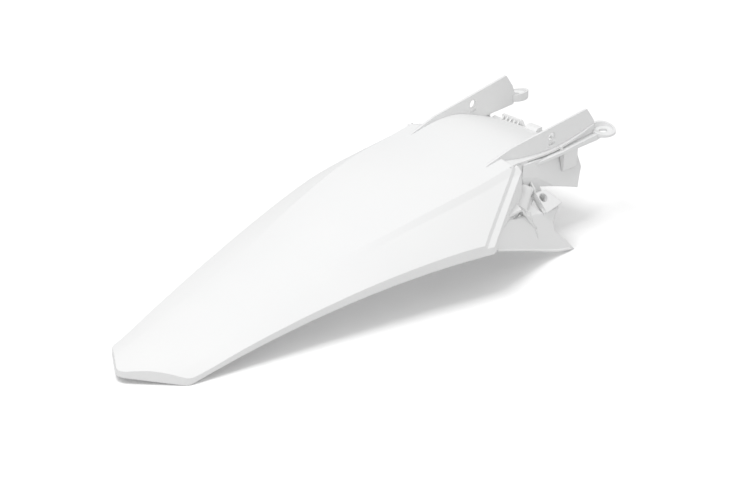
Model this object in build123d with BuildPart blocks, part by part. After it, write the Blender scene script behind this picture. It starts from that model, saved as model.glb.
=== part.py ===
from build123d import *
import os
from math import atan2, cos, sin

os.makedirs("parts", exist_ok=True)

# Rear fender of an off-road motorcycle: one thin-walled plastic moulding.
# +X points to the front of the motorcycle, +Y to its left and +Z up, in millimetres.
# It lies on a floor at Z = 0, on its two tail corners and its two skirt tips.
# Places named _x are distances in front of the rear end of the seam.

# Deck
deck_length = 398.0
nose_length = 240.5
wall = 2.8
tail_point_length = 47.0
tail_half_width = 55.0
tail_tip_height = 12.0
tail_tip_radius = 12.0
tail_corner_radius = 18.0
seam_half_width = 120.0
side_sag = 3.5
seam_edge_height = 58.0
crown_height = 99.0
tail_lip_depth = 5.0
seam_lip_depth = 11.0

# Crease along each side of the crown
crease_start = 0.50
crease_trace = 0.05
crease_rise = 8.6
crease_share = 0.60
crease_fade_share = 0.50
band_width = 6.0
band_fade_width = 18.0
band_base_share = 0.65

# Dome between the ears
dome_peak_height = 110.5
dome_peak_x = 103.0
dome_front_height = 82.5
nose_front_x = 195.0
dome_front_x = 190.0

# Seam step and ledge
seam_top_x = 88.0
seam_top_half_width = 72.4
seam_step = 3.6
seam_bevel = 1.8
ledge_width = 5.8

# Ears
ear_rear_x = 68.0
ear_front_x = 208.0
ear_rear_half_width = 55.0
ear_front_half_width = 58.5
ear_rise_x = 102.0
ear_rise_height = 111.5
ear_top_height = 122.0
ear_thickness = 3.0
ear_hole_x = 158.5
ear_hole_height = 107.0
ear_hole_diameter = 9.0
ear_slot_height = 99.5
ear_slot_length = 8.0
ear_slot_width = 2.2

# Flange and arm outside each ear, with the tab at the arm's end
flange_thickness = 1.8
arm_height = 87.5
arm_thickness = 3.0
arm_rear_x = 100.0
tab_half_spacing = 61.7
tab_radius = 12.8
tab_height = 90.7
tab_rim_height = 95.9
tab_rim_width = 2.6
tab_floor_height = 93.2
tab_slope = 0.24
tab_hole_diameter = 8.6
bridge_x = 166.5
gusset_x = 168.0
gusset_length = 20.0
gusset_depth = 20.0

# Lug and boss on the shelf, ribs
lug_x = 127.0
lug_half_spacing = 83.0
lug_height = 57.0
lug_thickness = 8.0
lug_hole_diameter = 9.5
boss_thickness = 9.0
rib_thickness = 2.4

# Cross walls with fins at the front of the dome
cross_wall_inner = 19.5
cross_wall_outer = 46.0
cross_wall_height = 88.0
fin_count = 5
fin_thickness = 2.0
fin_depth = 9.0
centre_block_half_width = 8.0

# Working sizes of the trimming blocks
reach = 900.0
depth = 60.0
section_count = 17

tip_half_angle = atan2(tail_half_width, tail_point_length)
tip_setback = tail_tip_radius * (1 / sin(tip_half_angle) - 1)
seam_x = (deck_length - tip_setback - nose_length) / 2
tail_x = seam_x - deck_length
corner_x = tail_x + tail_point_length


def deck_at(share):
    """X of a place on the deck, 0 at the sharp tail tip and 1 at the rear end of the seam."""
    return tail_x + share * deck_length


def nose_at(distance):
    """X of a place in front of the rear end of the seam."""
    return seam_x + distance


def half_width(along):
    """Half width of the deck, from 0 at the tail corner to 1 at the seam."""
    spread = seam_half_width - tail_half_width
    return tail_half_width + spread * along - 4 * side_sag * along * (1 - along)


def edge_height(along):
    """Height of the deck's edge, which levels off towards the seam."""
    return tail_lip_depth + (seam_edge_height - tail_lip_depth) * (1 - (1 - along) ** 1.75)


def lip_height(along):
    """Height of the lower rim of the edge's lip."""
    return edge_height(along) - tail_lip_depth - (seam_lip_depth - tail_lip_depth) * along


# Side view of the centre line, from the tail tip over the dome to the front
with BuildLine(Plane.XZ) as spine:
    Spline(
        (deck_at(-0.05), tail_tip_height - 4.5),
        (deck_at(0), tail_tip_height),
        (deck_at(0.35), 0.455 * crown_height),
        (deck_at(0.65), 0.73 * crown_height),
        (deck_at(1), crown_height),
        (nose_at(0.85 * dome_peak_x), dome_peak_height - 2),
        (nose_at(dome_peak_x), dome_peak_height),
        (nose_at(0.65 * dome_peak_x + 0.35 * nose_front_x), dome_peak_height - 3.6),
        (nose_at(nose_front_x), dome_front_height),
        (nose_at(nose_front_x + 18), dome_front_height - 8),
    )


def section(x):
    """Cross-section in Bezier curves: crown, steep band under each crease, side panels."""
    share = min(1.0, (x - tail_x) / deck_length)
    along = min(1.0, max(0.0, (x - corner_x) / (seam_x - corner_x)))
    strength = max(crease_trace, (share - crease_start) / (1 - crease_start)) ** 1.2
    fade = min(1.0, 2 * strength)
    top = spine.edge().intersect(Plane.YZ.offset(x))[0].Z
    width = half_width(along)
    edge = edge_height(along) if x < seam_x else top - (crown_height - seam_edge_height)
    curve = (top - edge) / width**2

    def arch(y):
        return top - curve * y**2

    rise = crease_rise * strength
    band = band_fade_width + (band_width - band_fade_width) * fade
    ridge = width * (crease_fade_share + (crease_share - crease_fade_share) * fade)
    base = ridge + band
    rim = width + 10
    ridge_z = arch(ridge) + rise
    base_z = arch(base) + rise * band_base_share
    rim_z = arch(rim)
    band_z = (ridge_z + base_z) / 2 + curve * band**2 / 2
    panel_z = (base_z + rim_z) / 2 + curve * (rim - base) ** 2 / 2
    crown_z = ridge_z + (top - ridge_z) * 4 / 3
    with BuildSketch(Plane.YZ.offset(x)) as sketch:
        with BuildLine():
            Bezier((-ridge, ridge_z), (-ridge / 3, crown_z), (ridge / 3, crown_z), (ridge, ridge_z))
            Bezier((ridge, ridge_z), (ridge + band / 2, band_z), (base, base_z))
            Bezier((base, base_z), ((base + rim) / 2, panel_z), (rim, rim_z))
            Line((rim, rim_z), (rim, -depth))
            Line((rim, -depth), (-rim, -depth))
            Line((-rim, -depth), (-rim, rim_z))
            Bezier((-rim, rim_z), (-(base + rim) / 2, panel_z), (-base, base_z))
            Bezier((-base, base_z), (-ridge - band / 2, band_z), (-ridge, ridge_z))
        make_face()
    return sketch.sketch


first_x = deck_at(-0.03)
last_x = nose_at(nose_front_x + 16)
pitch = (last_x - first_x) / (section_count - 1)
with BuildPart() as deck_form:
    loft(sections=[section(first_x + i * pitch) for i in range(section_count)])


def moved_in(before, corner, after, distance):
    """Corner of an outline, moved in by a distance together with its two sides."""
    sides = (Vector(corner) - Vector(before), Vector(after) - Vector(corner))
    normals = [Vector(-side.Y, side.X).normalized() for side in sides]
    miter = normals[0] + normals[1]
    place = Vector(corner) - miter * (distance / miter.dot(normals[0]))
    return (place.X, place.Y)


def plan_block(inset, front, middle):
    """Left half of the deck's plan outline, as a tall block."""
    corner = (corner_x, tail_half_width)
    bend = ((corner_x + seam_x) / 2, (tail_half_width + seam_half_width) / 2 - 2 * side_sag)
    seam_end = (seam_x, seam_half_width)
    flare = (seam_half_width - bend[1]) / (seam_x - bend[0])
    front_end = (front, seam_half_width + flare * (front - seam_x))
    beyond = (front + reach, front_end[1] + flare * reach)
    path = [(tail_x, 0), corner, bend, seam_end, front_end, beyond]
    corner, bend, seam_end, front_end = [
        moved_in(path[i], path[i + 1], path[i + 2], inset) for i in range(4)
    ]
    radius = tail_tip_radius - inset
    centre_x = tail_x + tail_tip_radius / sin(tip_half_angle)
    tip = (centre_x - radius, 0)
    touch = (centre_x - radius * sin(tip_half_angle), radius * cos(tip_half_angle))
    with BuildPart() as block:
        with BuildSketch(Plane.XY.offset(-depth)):
            with BuildLine():
                RadiusArc(tip, touch, radius)
                Line(touch, corner)
                Bezier(corner, bend, seam_end)
                Line(seam_end, front_end)
                Polyline(front_end, (front_end[0], middle), (tip[0], middle))
                if middle < 0:
                    Line((tip[0], middle), tip)
            make_face()
        extrude(amount=4 * depth)
        upright = block.edges().filter_by(Axis.Z).filter_by_position(Axis.X, corner_x - 5, corner_x + 9)
        fillet(upright, tail_corner_radius - inset)
    return block.part


def half_space(plane):
    """Block that fills the side of a plane that its normal points to."""
    with BuildPart() as block:
        with BuildSketch(plane):
            Rectangle(reach, reach)
        extrude(amount=reach)
    return block.part


# Upright planes of the seam and the ear on the left side, both facing outwards
seam_rear = Vector(seam_x, seam_half_width, 0)
seam_line = Vector(nose_at(seam_top_x), seam_top_half_width, 0) - seam_rear
seam_plane = Plane(origin=seam_rear, x_dir=seam_line, z_dir=Vector(-seam_line.Y, seam_line.X, 0))
ear_rear = Vector(nose_at(ear_rear_x), ear_rear_half_width, 0)
ear_line = Vector(nose_at(ear_front_x), ear_front_half_width, 0) - ear_rear
ear_plane = Plane(origin=ear_rear, x_dir=ear_line, z_dir=Vector(-ear_line.Y, ear_line.X, 0))


def front_cutter(seam_offset, ear_offset):
    """Room in front of the seam and of its top corner, outside the ear."""
    with BuildPart() as cutter:
        add(half_space(seam_plane.offset(seam_offset)))
        add(half_space(Plane.YZ.offset(nose_at(seam_top_x) + seam_offset)))
        add(half_space(ear_plane.offset(ear_offset)), mode=Mode.INTERSECT)
    return cutter.part


with BuildPart() as lip_block:
    rim = [(corner_x + along * (seam_x - corner_x), lip_height(along)) for along in (0, 0.2, 0.45, 0.7, 1)]
    tip_lip = (tail_x, tail_tip_height - tail_lip_depth)
    with BuildSketch(Plane.XZ.offset(-reach / 2)):
        with BuildLine():
            Line(tip_lip, rim[0])
            Spline(*rim)
            Line(rim[-1], (reach, rim[-1][1]))
            Polyline((reach, rim[-1][1]), (reach, reach), (-reach, reach), (-reach, tip_lip[1]), tip_lip)
        make_face()
    extrude(amount=reach)

# Left nose wall, recess, shelf and skirt: the corners of their section at each place
side_profiles = [
    (-12, [(60, 89), (70, 82), (80, 74.5), (121, 45), (124, 33)]),
    (46, [(62, 92), (70, 83), (80, 73.4), (105, 61.8), (118, 20)]),
    (72, [(66, 94), (71, 84), (72, 74), (96.5, 57.5), (112, 8)]),
    (102, [(68, 95), (70, 83), (66, 67.5), (90.5, 50), (106, -6)]),
    (152, [(61, 88), (66, 58), (64, 52), (86, 44), (101, -6)]),
    (202, [(60, 85), (68, 42), (66, 38), (74, 36), (84, -12)]),
]


def side_section(distance, profile, inset):
    """Section of the left nose wall, recess, shelf and skirt, closed to the middle of the fender."""
    edge, foot = profile[-2:]
    path = [(0, profile[0][1]), *profile, (2 * foot[0] - edge[0], 2 * foot[1] - edge[1])]
    points = [moved_in(path[i], path[i + 1], path[i + 2], inset) for i in range(len(profile))]
    with BuildSketch(Plane.YZ.offset(nose_at(distance))) as sketch:
        with BuildLine():
            Polyline((0, points[0][1]), *points, (points[-1][0], -depth), (0, -depth), close=True)
        make_face()
    return sketch.sketch


def side_form(inset):
    with BuildPart() as form:
        loft(sections=[side_section(distance, profile, inset) for distance, profile in side_profiles])
    return form.part


with BuildPart() as side_outline:
    with BuildSketch(Plane.XZ):
        with BuildLine():
            bottom = [(-12, 55), (0, 52), (46, 35.3), (96, 14.8), (122, 5), (149, 0)]
            front = [(149, 0), (127, 25), (126, 35), (132, 40), (143, 48), (133, 63), (153, 57), (188, 44)]
            front += [(196, 64), (193, 82), (193, 130), (-12, 130), (-12, 55)]
            Spline(*[(nose_at(x), z) for x, z in bottom])
            Polyline(*[(nose_at(x), z) for x, z in front])
        make_face()
    extrude(amount=-reach)

ledge_offset = seam_bevel + ledge_width
outer_plan = plan_block(0, nose_at(dome_front_x), 0)
inner_plan = plan_block(wall, nose_at(nose_front_x + 14), -4 * wall)

# The bevel is the deck's own form, leaning down in front of the seam
lean = seam_step / seam_bevel * seam_plane.z_dir
leaning = Matrix([[1, 0, 0, 0], [0, 1, 0, 0], [-lean.X, -lean.Y, 1, lean.dot(seam_rear)]])

with BuildPart() as deck_outer:
    add(deck_form.part)
    add(outer_plan, mode=Mode.INTERSECT)
    add(lip_block.part, mode=Mode.INTERSECT)
    add(front_cutter(0, 0), mode=Mode.SUBTRACT)

with BuildPart() as bevel_outer:
    add(deck_form.part.transform_geometry(leaning))
    add(outer_plan, mode=Mode.INTERSECT)
    add(lip_block.part, mode=Mode.INTERSECT)
    add(half_space(seam_plane), mode=Mode.INTERSECT)
    add(front_cutter(seam_bevel, 0), mode=Mode.SUBTRACT)

with BuildPart() as ledge_outer:
    add(Pos(0, 0, -seam_step) * deck_form.part)
    add(outer_plan, mode=Mode.INTERSECT)
    add(half_space(seam_plane.offset(-wall)), mode=Mode.INTERSECT)
    add(front_cutter(ledge_offset, 0), mode=Mode.SUBTRACT)
    add(lip_block.part, mode=Mode.INTERSECT)

with BuildPart() as side_outer:
    add(side_form(0))
    add(half_space(seam_plane.offset(ledge_offset - wall)), mode=Mode.INTERSECT)
    add(side_outline.part, mode=Mode.INTERSECT)

with BuildPart() as deck_cavity:
    add(Pos(0, 0, -wall) * deck_form.part)
    add(inner_plan, mode=Mode.INTERSECT)
    add(front_cutter(-wall / 2, -wall), mode=Mode.SUBTRACT)

with BuildPart() as ledge_cavity:
    add(Pos(0, 0, -seam_step - wall) * deck_form.part)
    add(inner_plan, mode=Mode.INTERSECT)
    add(half_space(seam_plane.offset(-20)), mode=Mode.INTERSECT)
    add(front_cutter(ledge_offset - wall, -wall), mode=Mode.SUBTRACT)

with BuildPart() as side_cavity:
    add(side_form(wall))
    add(half_space(seam_plane.offset(wall)), mode=Mode.INTERSECT)

# Sketching plane on the outside of the left ear, with its normal to the inside
ear_face = Plane(origin=ear_rear, x_dir=ear_line, z_dir=-ear_plane.z_dir)


def on_ear(x, z):
    return (x - ear_rear_x, z)


with BuildPart() as ear:
    with BuildSketch(ear_face):
        with BuildLine():
            Polyline(
                on_ear(ear_rear_x - 6, crown_height + 1),
                on_ear(ear_rear_x, crown_height + 4.2),
                on_ear(ear_rise_x, ear_rise_height),
                on_ear(ear_front_x, ear_top_height),
                on_ear(ear_front_x + 9, ear_top_height - 14),
                on_ear(ear_front_x + 13, tab_rim_height),
                on_ear(ear_front_x + 10, arm_height),
                on_ear(ear_hole_x, arm_height),
                on_ear(ear_hole_x - 36, crown_height + 2),
                on_ear(ear_rise_x, crown_height + 5),
                close=True,
            )
        make_face()
        with Locations(on_ear(ear_hole_x, ear_hole_height)):
            Circle(ear_hole_diameter / 2, mode=Mode.SUBTRACT)
        with Locations(on_ear(ear_hole_x, ear_slot_height)):
            SlotOverall(ear_slot_length, ear_slot_width, mode=Mode.SUBTRACT)
    extrude(amount=ear_thickness)

flange_line = [(84, 102.6), (97, 100.8), (110, 98), (127, 95.7), (147, 93.9), (163, 94)]
flange_line += [(190, 97.6), (217, 103.6)]
with BuildPart() as flange:
    with BuildSketch(Plane.XZ):
        with BuildLine():
            upper = [(nose_at(x), z) for x, z in flange_line]
            lower = [(x, z - flange_thickness) for x, z in reversed(upper)]
            Spline(*upper)
            Line(upper[-1], lower[0])
            Spline(*lower)
            Line(lower[-1], upper[0])
        make_face()
    extrude(amount=-reach)
    with BuildSketch(Plane.XY):
        with BuildLine():
            rim_line = [(nose_at(x), y) for x, y in ((84, 73), (118, 64.2), (150, 61.6), (217, 60.6))]
            Spline(*rim_line)
            Polyline(rim_line[-1], (nose_at(217), 56.5), (nose_at(84), 53.5), rim_line[0])
        make_face()
    extrude(amount=4 * depth, mode=Mode.INTERSECT)

with BuildPart() as arm:
    tab_x = nose_length - tab_radius
    top = arm_height + arm_thickness
    with BuildSketch(Plane.XZ):
        Polygon(
            (nose_at(arm_rear_x), arm_height),
            (nose_at(tab_x - tab_radius), arm_height),
            (nose_at(tab_x), tab_height),
            (nose_at(tab_x), tab_floor_height),
            (nose_at(tab_x - tab_radius), tab_floor_height),
            (nose_at(bridge_x), top),
            (nose_at(arm_rear_x), top),
            align=None,
        )
    extrude(amount=-reach)
    with BuildSketch(Plane.XY):
        with BuildLine():
            rim_places = ((arm_rear_x, 64), (126, 66.4), (158, 66.4), (187, 65.6), (tab_x, 66))
            rim_line = [(nose_at(x), y) for x, y in rim_places]
            Spline(*rim_line)
            Polyline(rim_line[-1], (nose_at(tab_x), 57), (nose_at(arm_rear_x), 56), rim_line[0])
        make_face()
    extrude(amount=4 * depth, mode=Mode.INTERSECT)

# Ring tab at the front end of the arm: a sloping rim around a lower floor
tab_centre = (nose_at(tab_x), tab_half_spacing)
rim_plane = Plane(origin=(*tab_centre, tab_rim_height), x_dir=(1, 0, 0), z_dir=(0, tab_slope, 1))
with BuildPart() as tab:
    with BuildSketch(Plane.XY.offset(tab_height)):
        with Locations(tab_centre):
            Circle(tab_radius)
    extrude(amount=tab_radius)
    add(half_space(rim_plane), mode=Mode.SUBTRACT)

with BuildPart() as tab_space:
    with BuildSketch(Plane.XY.offset(tab_floor_height)):
        with Locations(tab_centre):
            Circle(tab_radius - tab_rim_width)
    extrude(amount=tab_radius)
    with BuildSketch(Plane.XY.offset(tab_height - tab_radius)):
        with Locations(tab_centre):
            Circle(tab_hole_diameter / 2)
    extrude(amount=2 * tab_radius)

with BuildPart() as gusset:
    with BuildSketch(Plane.YZ.offset(nose_at(gusset_x))):
        Polygon((58, arm_height + 1), (65.5, arm_height + 1), (63.4, arm_height - gusset_depth),
                (61.5, arm_height - gusset_depth), align=None)
    extrude(amount=gusset_length)
    with BuildSketch(Plane.YZ.offset(nose_at(bridge_x))):
        Polygon((56, arm_height), (64, arm_height), (62.5, arm_height + 7), (56, arm_height + 7), align=None)
    extrude(amount=rib_thickness)

lug_place = (nose_at(lug_x), lug_half_spacing, lug_height)
lug_plane = Plane(origin=lug_place, x_dir=(1, 0, 0), z_dir=(0, 0.72, 0.69))
with BuildPart() as lug:
    with BuildSketch(lug_plane):
        Polygon((-10.5, -10.3), (4, -10), (14.5, 9), (-10, 13), align=None)
    extrude(amount=-lug_thickness)
with BuildPart() as lug_hole:
    with BuildSketch(lug_plane):
        with Locations((-4.2, -2.9)):
            Circle(lug_hole_diameter / 2)
    extrude(amount=2 * lug_thickness, both=True)

boss_normal = Vector(0.1, 0.72, 0.69)
boss_along = Vector(1, 0, 0) - boss_normal * (boss_normal.X / boss_normal.dot(boss_normal))
boss_plane = Plane(origin=(nose_at(100.6), 76, 66.4), x_dir=boss_along, z_dir=boss_normal)
with BuildPart() as boss:
    with BuildSketch(boss_plane):
        Polygon((4.5, -9.1), (15.5, -7), (17, -3), (3.4, 5.7), (-6.2, 10.4), (-14.2, 5.7), (-13.7, -1.2),
                align=None)
    extrude(amount=-boss_thickness)

# Openings in the shelf, above and below the boss
with BuildPart() as shelf_openings:
    with BuildSketch(Plane.XY):
        Polygon(*[(nose_at(x), y) for x, y in ((119, 70.5), (106.5, 79), (114.5, 90))], align=None)
        Polygon(*[(nose_at(x), y) for x, y in ((61, 98), (84.5, 86.5), (83.5, 91), (72, 95))], align=None)
    extrude(amount=depth * 1.4)

# Open room under the dome, between the nose walls
with BuildPart() as nose_room:
    with BuildSketch(Plane.XY):
        with Locations((nose_at(nose_front_x), 0)):
            Rectangle(nose_front_x, 2 * ear_front_half_width - 2)
    extrude(amount=dome_front_height - 11)

# Rib beside the boss, and a rib that runs down the shelf and the skirt
skirt_rib = Plane(origin=(nose_at(88), 85.1, 0), x_dir=(11, 12.3, 0), z_dir=(12.3, -11, 0))
with BuildPart() as ribs:
    with BuildSketch(Plane.YZ.offset(nose_at(117))):
        Polygon((62, 78), (67, 75), (73, 67.8), (75, 58), (62, 62), align=None)
    extrude(amount=rib_thickness)
    with BuildSketch(skirt_rib):
        Polygon((-2, 61.8), (0, 61), (8.4, 55.8), (16.5, 29), (15, 25), (7, 47), (-2, 55), align=None)
    extrude(amount=rib_thickness / 2, both=True)

with BuildPart() as cross_wall:
    with BuildSketch(Plane.YZ.offset(nose_at(nose_front_x) - wall)):
        Polygon((centre_block_half_width, 72), (cross_wall_outer, 70), (cross_wall_outer, cross_wall_height),
                (cross_wall_inner, cross_wall_height + 1), align=None)
    extrude(amount=wall)
    fin_pitch = (cross_wall_outer - cross_wall_inner) / fin_count
    for i in range(fin_count):
        with BuildSketch(Plane.XZ.offset(-cross_wall_inner - (i + 0.5) * fin_pitch)):
            front = nose_at(nose_front_x) - wall / 2
            Polygon((front, 74), (front, cross_wall_height - 1), (front - 2, cross_wall_height - 1),
                    (front - fin_depth, cross_wall_height - 7), (front - fin_depth, 74), align=None)
        extrude(amount=fin_thickness / 2, both=True)

with BuildPart() as centre_block:
    with BuildSketch(Plane.XZ):
        front = nose_at(nose_front_x)
        Polygon((front, 72), (front, cross_wall_height + 2), (front - 6, cross_wall_height + 2),
                (front - 14, 84), (front - 14, 78), align=None)
    extrude(amount=-centre_block_half_width)

with BuildPart() as left_half:
    for piece in (deck_outer, bevel_outer, ledge_outer, side_outer):
        add(piece.part)
    for space in (deck_cavity, ledge_cavity, side_cavity, nose_room, shelf_openings):
        add(space.part, mode=Mode.SUBTRACT)
    for piece in (ear, flange, arm, tab, gusset, lug, boss, ribs, cross_wall, centre_block):
        add(piece.part)
    for space in (lug_hole, tab_space):
        add(space.part, mode=Mode.SUBTRACT)

with BuildPart() as rear_fender:
    add(left_half.part)
    mirror(about=Plane.XZ)

rear_fender.part.label = "rear_fender"
export_step(rear_fender.part, "parts/rear_fender.step")
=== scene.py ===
from math import cos, pi, radians, sin

import bmesh
import bpy
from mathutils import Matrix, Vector


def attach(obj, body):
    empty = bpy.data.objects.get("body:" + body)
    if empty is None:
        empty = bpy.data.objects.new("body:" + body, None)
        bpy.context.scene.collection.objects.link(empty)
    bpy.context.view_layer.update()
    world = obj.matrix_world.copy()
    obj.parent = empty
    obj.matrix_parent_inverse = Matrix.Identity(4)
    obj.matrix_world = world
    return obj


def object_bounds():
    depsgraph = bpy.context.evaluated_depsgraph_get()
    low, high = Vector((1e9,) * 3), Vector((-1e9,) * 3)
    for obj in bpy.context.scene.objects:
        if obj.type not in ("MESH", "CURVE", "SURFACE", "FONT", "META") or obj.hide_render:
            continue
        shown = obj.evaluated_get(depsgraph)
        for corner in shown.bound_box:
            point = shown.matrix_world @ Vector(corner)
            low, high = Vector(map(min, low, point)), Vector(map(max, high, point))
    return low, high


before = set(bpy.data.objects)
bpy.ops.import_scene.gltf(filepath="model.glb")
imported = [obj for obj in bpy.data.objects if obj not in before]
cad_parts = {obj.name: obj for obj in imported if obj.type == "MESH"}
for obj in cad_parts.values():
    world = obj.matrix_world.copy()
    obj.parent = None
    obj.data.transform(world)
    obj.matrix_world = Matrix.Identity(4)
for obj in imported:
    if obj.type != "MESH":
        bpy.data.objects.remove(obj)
cad_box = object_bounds()

scene = bpy.context.scene
white = (1, 1, 1, 1)
mm = 0.001


def node(tree, kind, inputs=None, **settings):
    """Adds a shader node with its settings and input values."""
    made = tree.nodes.new(kind)
    for name, value in settings.items():
        setattr(made, name, value)
    for name, value in (inputs or {}).items():
        made.inputs[name].default_value = value
    return made


def ramp(tree, source, low, high):
    """Maps a value from 0 to 1 to a range."""
    made = node(tree, "ShaderNodeMapRange", {"To Min": low, "To Max": high})
    tree.links.new(source, made.inputs["Value"])
    return made.outputs["Result"]


def moulded_plastic():
    """White plastic with a fine grain, slow unevenness of tone and gloss, and softly shaded edges."""
    cool_white = (0.855, 0.86, 0.865, 1)
    warm_white = (0.9, 0.9, 0.895, 1)
    glossiest, dullest = 0.36, 0.48
    edge_radius = 1.1 * mm
    grain_depth = 0.4 * mm
    grain_strength = 0.06

    material = bpy.data.materials.new("white_moulded_plastic")
    material.use_nodes = True
    tree = material.node_tree
    link = tree.links.new
    shader = tree.nodes["Principled BSDF"]
    shader.inputs["Specular IOR Level"].default_value = 0.45

    place = node(tree, "ShaderNodeTexCoord")
    cloud = node(tree, "ShaderNodeTexNoise", {"Scale": 9.0, "Detail": 4.0})
    grain = node(tree, "ShaderNodeTexNoise", {"Scale": 900.0, "Detail": 3.0})
    for texture in (cloud, grain):
        link(place.outputs["Object"], texture.inputs["Vector"])

    tone = node(tree, "ShaderNodeMix", data_type="RGBA")
    sockets = {socket.identifier: socket for socket in (*tone.inputs, *tone.outputs)}
    sockets["A_Color"].default_value = cool_white
    sockets["B_Color"].default_value = warm_white
    link(cloud.outputs["Fac"], sockets["Factor_Float"])
    link(sockets["Result_Color"], shader.inputs["Base Color"])
    link(ramp(tree, cloud.outputs["Fac"], glossiest, dullest), shader.inputs["Roughness"])

    soft_edge = node(tree, "ShaderNodeBevel", {"Radius": edge_radius}, samples=6)
    bump = node(tree, "ShaderNodeBump", {"Strength": grain_strength, "Distance": grain_depth})
    link(grain.outputs["Fac"], bump.inputs["Height"])
    link(soft_edge.outputs["Normal"], bump.inputs["Normal"])
    link(bump.outputs["Normal"], shader.inputs["Normal"])
    return material


plastic = moulded_plastic()
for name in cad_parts:
    materials = bpy.data.objects[name].data.materials
    materials.clear()
    materials.append(plastic)
shell = bpy.data.objects["rear_fender"]


# Small forms of the moulding, given on the left side in millimetres and mirrored to the right
def moulded(name, rings):
    """Joins closed rings of points into a solid on the left, and makes its mirror image on the right."""
    for word, side in (("left", 1), ("right", -1)):
        shape = bmesh.new()
        loops = [[shape.verts.new((x * mm, side * y * mm, z * mm)) for x, y, z in ring] for ring in rings]
        for loop in (loops[0], loops[-1]):
            shape.faces.new(loop)
        for first, second in zip(loops, loops[1:]):
            for i, vert in enumerate(first):
                shape.faces.new((first[i - 1], vert, second[i], second[i - 1]))
        bmesh.ops.recalc_face_normals(shape, faces=shape.faces)
        mesh = bpy.data.meshes.new(name + "_" + word)
        shape.to_mesh(mesh)
        shape.free()
        mesh.materials.append(plastic)
        piece = bpy.data.objects.new(name + "_" + word, mesh)
        scene.collection.objects.link(piece)
        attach(piece, "root")


# Web that carries the nose wall back under the seam's top corner and closes the slot's rear end
web_sections = (
    (169.5, ((68.5, 99.0), (70.0, 83.3), (67.2, 69.0))),
    (184.0, ((66.2, 96.8), (69.2, 80.6), (65.5, 66.0))),
    (195.0, ((63.8, 94.8), (65.5, 90.5), (65.0, 88.0))),
)
web_thickness = 2.4
web_rings = []
for x, profile in web_sections:
    outer = [(x, y, z) for y, z in profile]
    inner = [(x, y - web_thickness, z) for y, z in reversed(profile)]
    web_rings.append(outer + inner)
moulded("corner_web", web_rings)

# Tip of the shelf in front of the ledge
shelf_rear = Vector((128.5, 99.8, 67.2))
shelf_front = Vector((156.0, 85.0, 69.5))
shelf_tip = Vector((152.6, 96.7, 66.5))
shelf_drop = Vector((0, 0, -2.2))
shelf_top = [shelf_rear, shelf_front, shelf_tip]
moulded("shelf_tip", [shelf_top, [point + shelf_drop for point in shelf_top]])

# Rib that runs from the shelf's tip down the skirt
rib_foot = Vector((175.3, 94.9, 37.0))
rib_root = Vector((160.0, 87.0, 57.5))
rib_thickness = 2.2
rib_side = (rib_foot - shelf_tip).cross(rib_root - shelf_tip).normalized() * rib_thickness / 2
rib_plate = [shelf_tip, rib_foot, rib_root]
moulded("skirt_rib", [[point + shift for point in rib_plate] for shift in (-rib_side, rib_side)])

# Rim along the skirt's lower edge, which is looked for on the shell
rim_rear = 96.0
rim_front = 220.0
rim_stations = 8
rim_section = ((-0.6, 0.2), (1.4, 0.2), (1.4, 1.6), (-0.2, 3.2), (-0.6, 3.2))
search_from = 200.0
search_step = 0.1
skirt_inside = 75.0
facing_out = 0.5


def skirt_edge(x):
    """Finds the lowest point of the left skirt's outer face at a place along X, and the face's normal."""
    height = 0.0
    found = None
    while found is None:
        start = Vector((x, search_from, height)) * mm
        hit, point, normal, _ = shell.ray_cast(start, (0, -1, 0))
        if hit and point.y > skirt_inside * mm and normal.y > facing_out:
            found = point / mm
        height += search_step
    return found, normal


rim_rings = []
for station in range(rim_stations):
    edge, outward = skirt_edge(rim_rear + (rim_front - rim_rear) * station / (rim_stations - 1))
    upward = Vector((1, 0, 0)).cross(outward).normalized()
    rim_rings.append([edge + outward * out + upward * up for out, up in rim_section])
moulded("skirt_rim", rim_rings)

# Round top of the boss between the ledge and the lug
boss_start = Vector((186.0, 71.0, 71.0))
boss_end = Vector((162.8, 84.9, 59.4))
boss_out = Vector((0.10, 0.72, 0.69))
boss_half_width = 7.0
boss_rise = 4.5
boss_sink = 0.6
boss_steps = 12
boss_side = boss_out.cross(boss_end - boss_start).normalized()
boss_arch = []
for step in range(boss_steps + 1):
    turn = pi * step / boss_steps
    boss_arch.append(boss_side * boss_half_width * cos(turn) + boss_out * (boss_rise * sin(turn) - boss_sink))
moulded("boss_top", [[middle + point for point in boss_arch] for middle in (boss_start, boss_end)])


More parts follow.
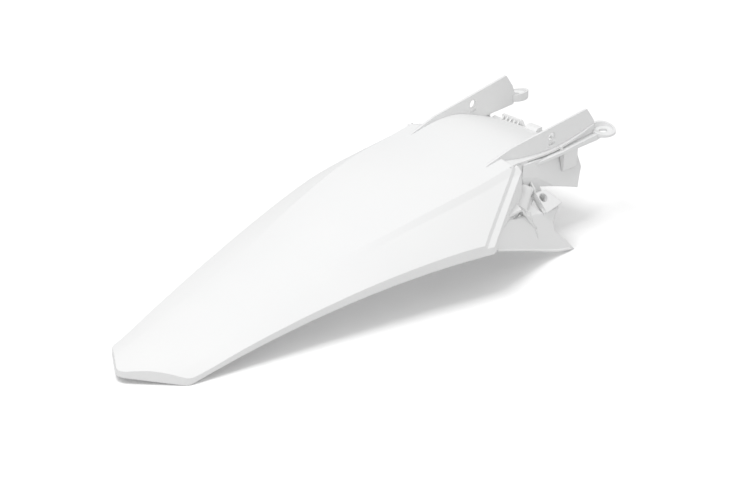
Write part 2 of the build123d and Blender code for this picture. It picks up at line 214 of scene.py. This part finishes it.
# Pale floor: white to the camera, a little darker as a reflector
def floor_paper():
    paper = bpy.data.materials.new("pale_floor")
    paper.use_nodes = True
    tree = paper.node_tree
    shader = tree.nodes["Principled BSDF"]
    seen = node(tree, "ShaderNodeLightPath").outputs["Is Camera Ray"]
    tree.links.new(ramp(tree, seen, 0.8, 1.0), shader.inputs["Base Color"])
    tree.links.new(ramp(tree, seen, 0.0, 0.14), shader.inputs["Emission Strength"])
    shader.inputs["Emission Color"].default_value = white
    shader.inputs["Roughness"].default_value = 0.9
    shader.inputs["Specular IOR Level"].default_value = 0.0
    return paper


floor_size = 40
floor_gap = 0.2 * mm
bpy.ops.mesh.primitive_plane_add(size=floor_size)
floor = bpy.context.object
floor.name = "floor"
floor.location.z = cad_box[0].z - floor_gap
floor.data.materials.append(floor_paper())

# Soft studio light: an even sky and one large lamp over the deck
sky_strength = 0.69
lamp_place = Vector((-0.7, 0.0, 2.3))
lamp_size = 1.0
lamp_watts = 23

scene.world = bpy.data.worlds.new("studio")
scene.world.use_nodes = True
sky = scene.world.node_tree.nodes["Background"]
sky.inputs["Color"].default_value = white
sky.inputs["Strength"].default_value = sky_strength

light = bpy.data.lights.new("key", "AREA")
light.shape = "SQUARE"
light.size = lamp_size
light.energy = lamp_watts
lamp = bpy.data.objects.new("key", light)
scene.collection.objects.link(lamp)
lamp.location = lamp_place
lamp.rotation_mode = "QUATERNION"
lamp.rotation_quaternion = (-lamp_place).to_track_quat("-Z", "Y")

# Camera at the photograph's angle, far away with a long lens
azimuth, elevation = radians(-45), radians(25)
target = Vector((0.0096, -0.0190, 0.0500))
view_width = 0.732
focal_length, sensor_width = 1000, 36
distance = view_width * focal_length / sensor_width
back = Vector((sin(azimuth) * cos(elevation), -cos(azimuth) * cos(elevation), sin(elevation)))

lens = bpy.data.cameras.new("camera")
lens.sensor_width = sensor_width
lens.lens = focal_length
lens.clip_end = 2 * distance
camera = bpy.data.objects.new("camera", lens)
scene.collection.objects.link(camera)
camera.location = target + back * distance
camera.rotation_mode = "QUATERNION"
camera.rotation_quaternion = (-back).to_track_quat("-Z", "Y")
scene.camera = camera
scene.view_settings.view_transform = "Standard"
